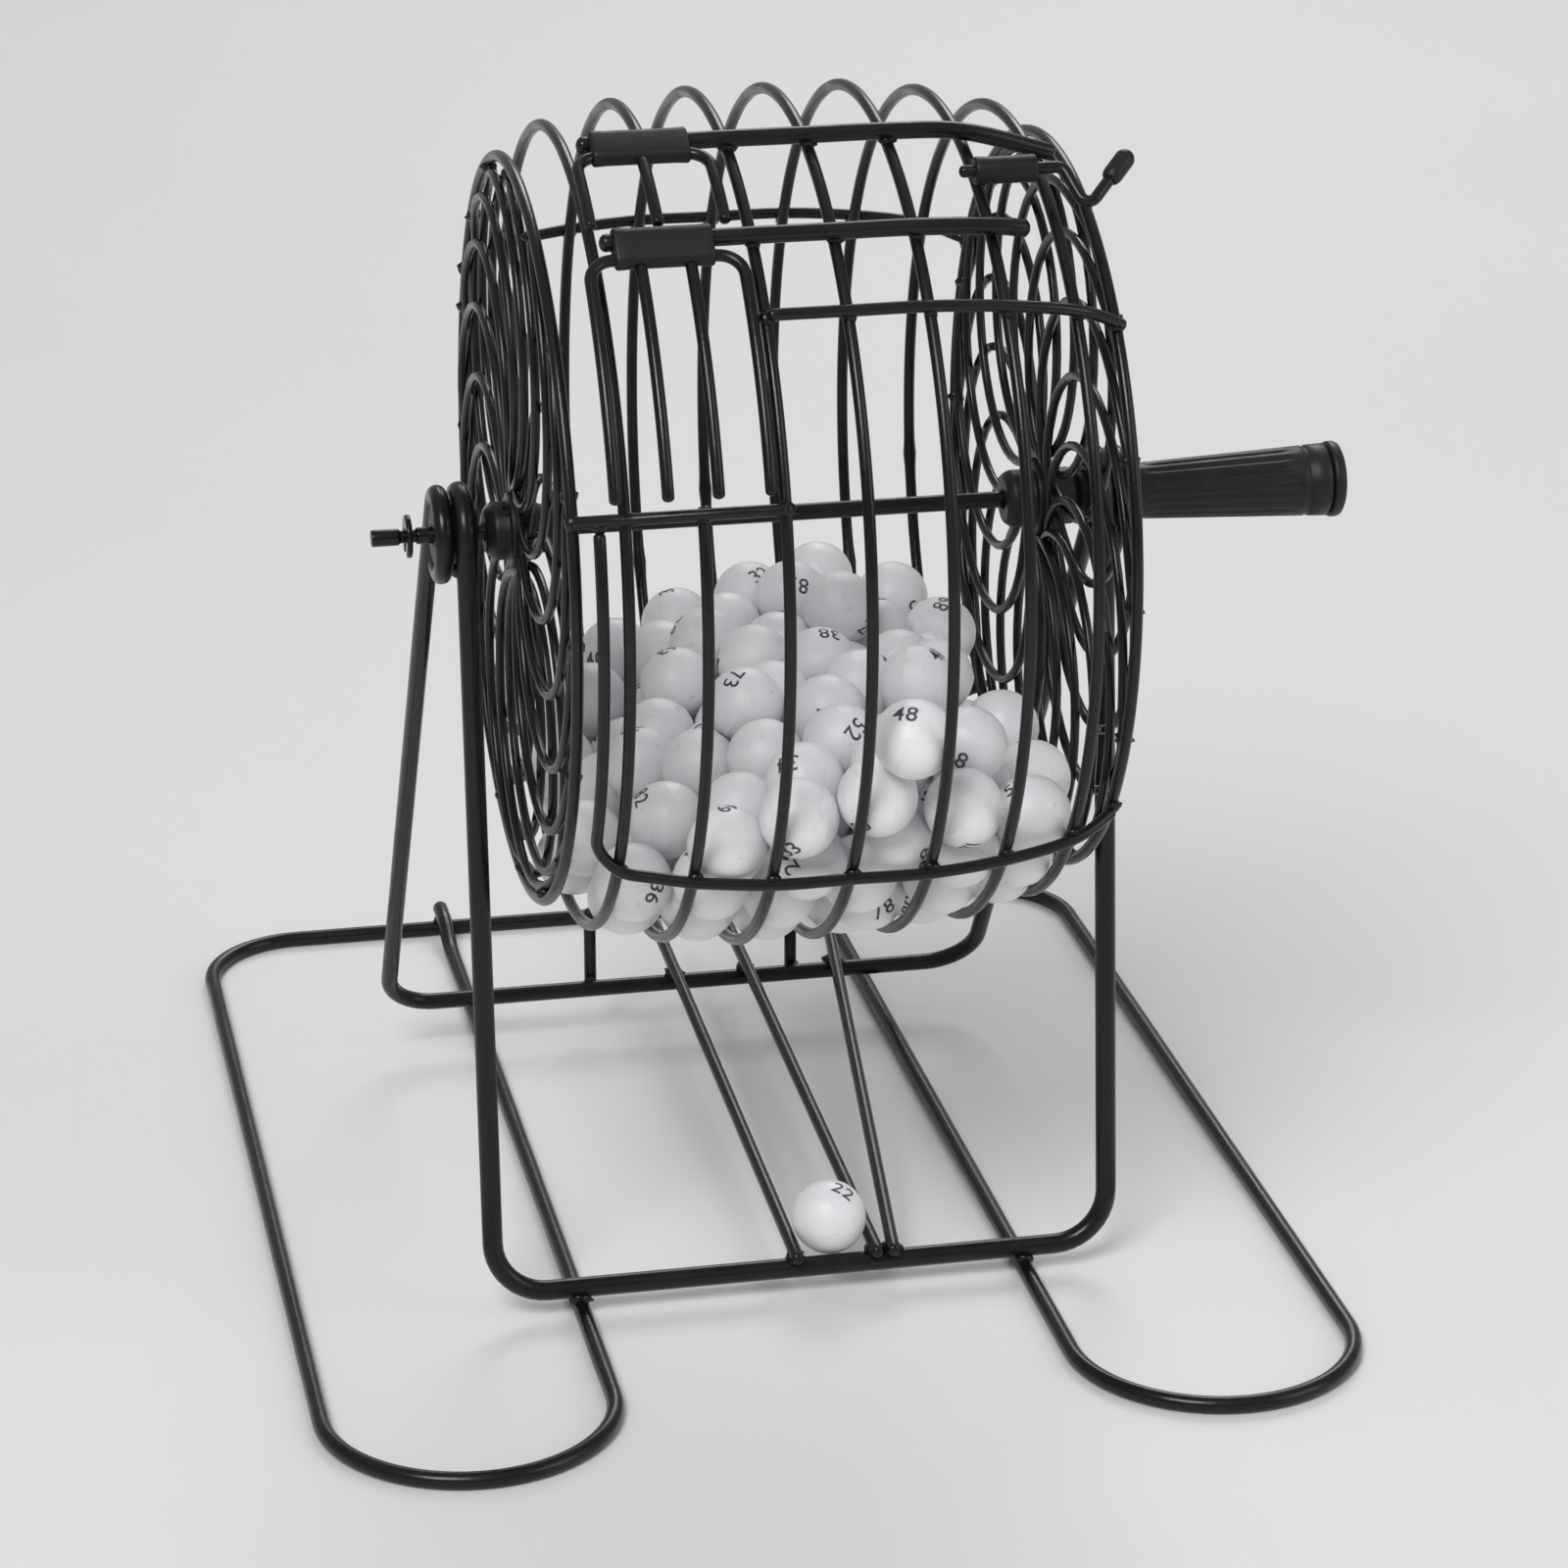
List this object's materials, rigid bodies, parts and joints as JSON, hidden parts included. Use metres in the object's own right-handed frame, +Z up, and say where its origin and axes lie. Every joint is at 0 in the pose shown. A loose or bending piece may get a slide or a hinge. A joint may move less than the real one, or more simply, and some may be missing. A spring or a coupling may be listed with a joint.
{
  "type": "bingo cage",
  "caption": "Tabletop bingo cage: black wire drum of numbered balls on an axle, turned by a straight grip, in a wire stand with splayed legs and a rail chute.",
  "frame": {"origin": "centre of the bounding box on the floor", "axes": "+Z up, +X along the axle towards the grip, +Y towards the back of the stand, so the called ball rolls out towards -Y"},
  "size_m": [0.2378, 0.2998, 0.2645],
  "materials": {
    "stand_wire": "semi-gloss black enamel on steel wire",
    "drum_wire": "semi-gloss black enamel on steel wire",
    "fitting_plastic": "satin moulded black plastic",
    "grip_plastic": "satin moulded blue-black plastic",
    "ball_plastic": "satin white plastic with small printed numbers"
  },
  "bodies": {
    "stand": {"front_frame": "stand_wire", "rear_frame": "stand_wire", "foot_frame": "stand_wire", "chute_rail_1": "stand_wire", "chute_rail_2": "stand_wire", "chute_rail_3": "stand_wire", "chute_prong_1": "stand_wire", "chute_prong_2": "stand_wire", "axle_bush_left": "fitting_plastic", "axle_bush_right": "fitting_plastic", "ball_heap": "ball_plastic"},
    "drum": {"axle": "drum_wire", "axle_clip": "drum_wire", "hub_left": "fitting_plastic", "handle_shank": "fitting_plastic", "handle_grip": "grip_plastic", "handle_end_cap": "grip_plastic", "drum_hoop_1": "drum_wire", "drum_hoop_2": "drum_wire", "drum_hoop_3": "drum_wire", "drum_hoop_4": "drum_wire", "drum_hoop_5": "drum_wire", "drum_hoop_6": "drum_wire", "drum_hoop_7": "drum_wire", "drum_hoop_8": "drum_wire", "drum_hoop_9": "drum_wire", "end_coil_left": "drum_wire", "end_coil_right": "drum_wire", "stave_front_upper": "drum_wire", "stave_front_lower": "drum_wire", "stave_rear_upper": "drum_wire", "stave_rear_lower": "drum_wire", "door_sill": "drum_wire", "gate_hinge_rod": "drum_wire", "door_hinge_rod": "drum_wire", "latch_sleeve": "fitting_plastic"},
    "door": {"door_frame": "drum_wire", "door_bar_1": "drum_wire", "door_bar_2": "drum_wire", "door_sleeve": "fitting_plastic"},
    "gate": {"gate_frame": "drum_wire", "gate_bar": "drum_wire", "gate_sleeve": "fitting_plastic"},
    "latch": {"latch_lever": "drum_wire", "latch_tip": "fitting_plastic"},
    "called_ball": {"called_ball": "ball_plastic"}
  },
  "joints": [
    {"name": "drum_spin", "type": "hinge", "parent": "stand", "child": "drum", "pos_m": [-0.00512, -0.05007, 0.173], "axis": [1, 0, 0], "continuous": true},
    {"name": "door_swing", "type": "hinge", "parent": "drum", "child": "door", "pos_m": [-0.04012, -0.10387, 0.24843], "axis": [-1, 0, 0], "range_deg": [0, 110]},
    {"name": "gate_swing", "type": "hinge", "parent": "drum", "child": "gate", "pos_m": [-0.04012, -0.07716, 0.26161], "axis": [-1, 0, 0], "range_deg": [0, 80]},
    {"name": "latch_turn", "type": "hinge", "parent": "drum", "child": "latch", "pos_m": [0.03238, -0.09149, 0.25607], "axis": [-1, 0, 0], "range_deg": [0, 60]},
    {"name": "ball_roll", "type": "slide", "parent": "stand", "child": "called_ball", "axis": [0, 0.999, 0.0445], "range_m": [0, 0.1]}
  ]
}
